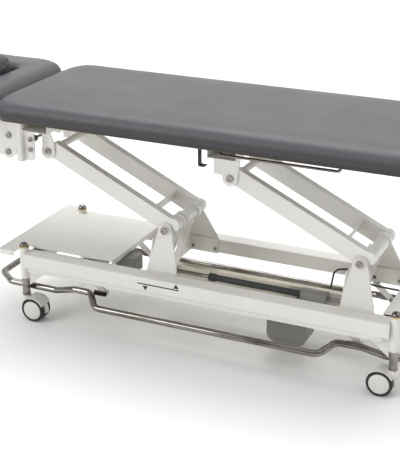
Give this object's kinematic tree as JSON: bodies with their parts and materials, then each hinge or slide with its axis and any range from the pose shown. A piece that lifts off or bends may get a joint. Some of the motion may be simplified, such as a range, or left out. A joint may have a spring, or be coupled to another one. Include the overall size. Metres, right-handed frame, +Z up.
{
  "type": "treatment_table",
  "caption": "Treatment table with a grey two-part padded top, parallelogram lift, white frame, bright foot ring and twin-wheel casters.",
  "frame": {"origin": "middle of the padded top, on the floor", "axes": "+X towards the foot end, +Y towards the far side, +Z up"},
  "size_m": [2.04, 0.65, 0.936],
  "materials": {
    "powder_coat": "off-white powder coat, satin",
    "bright_steel": "polished bright steel",
    "plated_bar": "plated flat bar, brushed",
    "brass_ring": "polished brass",
    "dark_plastic": "dark matte plastic",
    "grey_plastic": "grey moulded housing",
    "black_rubber": "black flexible lead",
    "wheel_rubber": "black non-marking tyre",
    "board_wood": "plywood board, dark stained",
    "upholstery": "mid grey artificial leather, seamed"
  },
  "bodies": {
    "base": {"rail_near": "powder_coat", "rail_far": "powder_coat", "cross_members": "powder_coat", "caster_sockets": "powder_coat", "socket_caps": "bright_steel", "cap_rings": "brass_ring", "caster_stems": "bright_steel", "pedestal_head": "powder_coat", "pedestal_foot": "powder_coat", "pedestal_screws": "bright_steel", "base_cover": "powder_coat", "control_box": "grey_plastic", "pivot_bolts": "bright_steel", "drive_tube": "dark_plastic", "drive_motor": "grey_plastic", "supply_inlet": "dark_plastic", "supply_lead": "black_rubber", "link_brackets": "powder_coat"},
    "head_arms": {"head_arm_near": "powder_coat", "head_arm_far": "powder_coat", "head_arm_tubes": "powder_coat", "head_levers": "powder_coat"},
    "foot_arms": {"foot_arm_near": "powder_coat", "foot_arm_far": "powder_coat", "foot_arm_tubes": "powder_coat", "foot_lever": "powder_coat"},
    "sync_link": {"sync_bar": "plated_bar"},
    "drive_slider": {"drive_rod": "bright_steel"},
    "upper_frame": {"frame_rails": "powder_coat", "frame_crossers": "powder_coat", "lift_lugs": "powder_coat", "head_brackets": "powder_coat", "frame_bolts": "bright_steel", "main_board": "board_wood", "main_cushion": "upholstery", "roll_bar": "bright_steel", "accessory_hook": "dark_plastic"},
    "head_section": {"head_frame": "powder_coat", "head_board": "board_wood", "head_cushion": "upholstery"},
    "plug": {"face_plug": "upholstery"},
    "strut_cylinder": {"gas_cylinder": "dark_plastic"},
    "strut_rod": {"gas_rod": "bright_steel"},
    "ring": {"foot_ring": "bright_steel"},
    "ring_link_head_near": {"link_head_near": "powder_coat"},
    "ring_link_head_far": {"link_head_far": "powder_coat"},
    "ring_link_foot_near": {"link_foot_near": "powder_coat"},
    "ring_link_foot_far": {"link_foot_far": "powder_coat"},
    "swivel_hn": {"caster_hn_yoke": "powder_coat"},
    "wheels_hn": {"caster_hn_hubs": "powder_coat", "caster_hn_tyres": "wheel_rubber"},
    "swivel_hf": {"caster_hf_yoke": "powder_coat"},
    "wheels_hf": {"caster_hf_hubs": "powder_coat", "caster_hf_tyres": "wheel_rubber"},
    "swivel_fn": {"caster_fn_yoke": "powder_coat"},
    "wheels_fn": {"caster_fn_hubs": "powder_coat", "caster_fn_tyres": "wheel_rubber"},
    "swivel_ff": {"caster_ff_yoke": "powder_coat"},
    "wheels_ff": {"caster_ff_hubs": "powder_coat", "caster_ff_tyres": "wheel_rubber"}
  },
  "joints": [
    {"name": "lift", "type": "hinge", "parent": "base", "child": "head_arms", "pos_m": [0.05, 0, 0.4198], "axis": [0, 1, 0], "range_deg": [-35.6, 7.4]},
    {"name": "foot_arm_lift", "type": "hinge", "parent": "base", "child": "foot_arms", "pos_m": [0.782, 0, 0.4198], "axis": [0, 1, 0], "range_deg": [-36, 7.8]},
    {"name": "frame_level", "type": "hinge", "parent": "head_arms", "child": "upper_frame", "pos_m": [-0.43248, 0, 0.65097], "axis": [0, 1, 0], "range_deg": [-7.8, 36]},
    {"name": "sync_pin", "type": "hinge", "parent": "head_arms", "child": "sync_link", "pos_m": [-0.01383, 0, 0.16569], "axis": [0, 1, 0], "range_deg": [-7.8, 36]},
    {"name": "drive_stroke", "type": "slide", "parent": "base", "child": "drive_slider", "axis": [-1, 0, 0], "range_m": [-0.122, 0.028]},
    {"name": "head_tilt", "type": "hinge", "parent": "upper_frame", "child": "head_section", "pos_m": [-0.569, 0, 0.803], "axis": [0, 1, 0], "range_deg": [-25, 15]},
    {"name": "plug_lift", "type": "slide", "parent": "head_section", "child": "plug", "axis": [0, 0, 1], "range_m": [0, 0.13]},
    {"name": "strut_swing", "type": "hinge", "parent": "upper_frame", "child": "strut_cylinder", "pos_m": [-0.572, 0, 0.647], "axis": [0, 1, 0], "range_deg": [-15.5, 9.5]},
    {"name": "strut_stroke", "type": "slide", "parent": "strut_cylinder", "child": "strut_rod", "axis": [-0.7727, 0, 0.6347], "range_m": [-0.06, 0.037]},
    {"name": "ring_swing", "type": "hinge", "parent": "base", "child": "ring_link_head_near", "pos_m": [-0.232, -0.193, 0.205], "axis": [0, 1, 0], "range_deg": [-6, 6], "stiffness_Nm_per_rad": 300},
    {"name": "ring_level", "type": "hinge", "parent": "ring_link_head_near", "child": "ring", "pos_m": [-0.168, -0.193, 0.15215], "axis": [0, 1, 0], "range_deg": [-6.5, 6.5]},
    {"name": "ring_swing_hf", "type": "hinge", "parent": "base", "child": "ring_link_head_far", "pos_m": [-0.232, 0.193, 0.205], "axis": [0, 1, 0], "range_deg": [-6.5, 6.5]},
    {"name": "ring_swing_fn", "type": "hinge", "parent": "base", "child": "ring_link_foot_near", "pos_m": [0.752, -0.193, 0.205], "axis": [0, 1, 0], "range_deg": [-6.5, 6.5]},
    {"name": "ring_swing_ff", "type": "hinge", "parent": "base", "child": "ring_link_foot_far", "pos_m": [0.752, 0.193, 0.205], "axis": [0, 1, 0], "range_deg": [-6.5, 6.5]},
    {"name": "swivel_turn_hn", "type": "hinge", "parent": "base", "child": "swivel_hn", "pos_m": [-0.5, -0.2195, 0.084], "axis": [0, 0, 1], "continuous": true},
    {"name": "wheel_turn_hn", "type": "hinge", "parent": "swivel_hn", "child": "wheels_hn", "pos_m": [-0.462, -0.2195, 0.046], "axis": [0, 1, 0], "continuous": true},
    {"name": "swivel_turn_hf", "type": "hinge", "parent": "base", "child": "swivel_hf", "pos_m": [-0.5, 0.2195, 0.084], "axis": [0, 0, 1], "continuous": true},
    {"name": "wheel_turn_hf", "type": "hinge", "parent": "swivel_hf", "child": "wheels_hf", "pos_m": [-0.462, 0.2195, 0.046], "axis": [0, 1, 0], "continuous": true},
    {"name": "swivel_turn_fn", "type": "hinge", "parent": "base", "child": "swivel_fn", "pos_m": [0.94, -0.2195, 0.084], "axis": [0, 0, 1], "continuous": true},
    {"name": "wheel_turn_fn", "type": "hinge", "parent": "swivel_fn", "child": "wheels_fn", "pos_m": [0.902, -0.2195, 0.046], "axis": [0, 1, 0], "continuous": true},
    {"name": "swivel_turn_ff", "type": "hinge", "parent": "base", "child": "swivel_ff", "pos_m": [0.94, 0.2195, 0.084], "axis": [0, 0, 1], "continuous": true},
    {"name": "wheel_turn_ff", "type": "hinge", "parent": "swivel_ff", "child": "wheels_ff", "pos_m": [0.902, 0.2195, 0.046], "axis": [0, 1, 0], "continuous": true}
  ],
  "couplings": [
    {"joint": "frame_level", "follows": "lift", "ratio": -1},
    {"joint": "foot_arm_lift", "follows": "lift", "ratio": 1},
    {"joint": "sync_pin", "follows": "lift", "ratio": -1},
    {"joint": "drive_stroke", "follows": "lift", "m_per_rad": 0.19},
    {"joint": "strut_swing", "follows": "head_tilt", "ratio": 0.57},
    {"joint": "strut_stroke", "follows": "head_tilt", "m_per_rad": 0.128},
    {"joint": "ring_level", "follows": "ring_swing", "ratio": -1},
    {"joint": "ring_swing_hf", "follows": "ring_swing", "ratio": 1},
    {"joint": "ring_swing_fn", "follows": "ring_swing", "ratio": 1},
    {"joint": "ring_swing_ff", "follows": "ring_swing", "ratio": 1}
  ]
}
